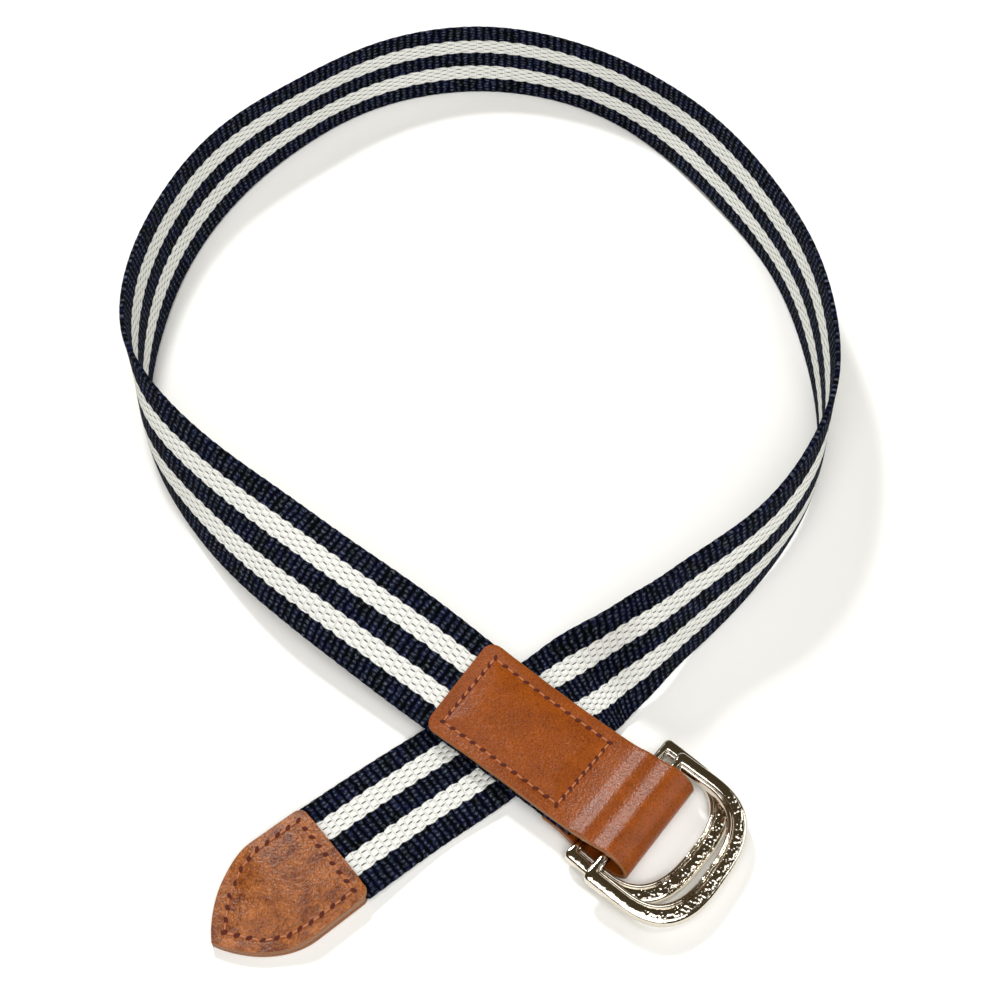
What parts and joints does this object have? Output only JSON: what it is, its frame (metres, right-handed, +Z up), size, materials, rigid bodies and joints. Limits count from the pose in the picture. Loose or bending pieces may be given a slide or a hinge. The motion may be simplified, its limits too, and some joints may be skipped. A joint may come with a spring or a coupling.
{
  "type": "belt",
  "caption": "Striped woven webbing belt lying in a loop, with a stitched leather tab that holds loose D rings and a pointed leather tip, fastened by threading the tip through the rings.",
  "frame": {"origin": "middle of the belt's box, on the surface it lies on", "axes": "+Y from the crossed ends towards the loop's far side, +Z up"},
  "size_m": [0.2531, 0.4238, 0.0339],
  "materials": {
    "webbing": "matt woven cotton in navy and off-white stripes",
    "leather": "smooth tan leather with a soft sheen",
    "nickel": "polished nickel plate"
  },
  "bodies": {
    "belt": {"strap": "webbing", "tab_leather": "leather", "tip_front": "leather", "tip_back": "leather"},
    "lower_ring": {"ring_lower": "nickel"},
    "upper_ring": {"ring_upper": "nickel"}
  },
  "joints": [
    {"name": "lower_ring_swing", "type": "hinge", "parent": "belt", "child": "lower_ring", "pos_m": [0.0441, -0.1689, 0.0036], "axis": [-0.6508, -0.7593, 0], "range_deg": [-150, 0]},
    {"name": "upper_ring_swing", "type": "hinge", "parent": "belt", "child": "upper_ring", "pos_m": [0.0477, -0.1755, 0.0068], "axis": [-0.6101, -0.7923, 0], "range_deg": [0, 150]}
  ]
}
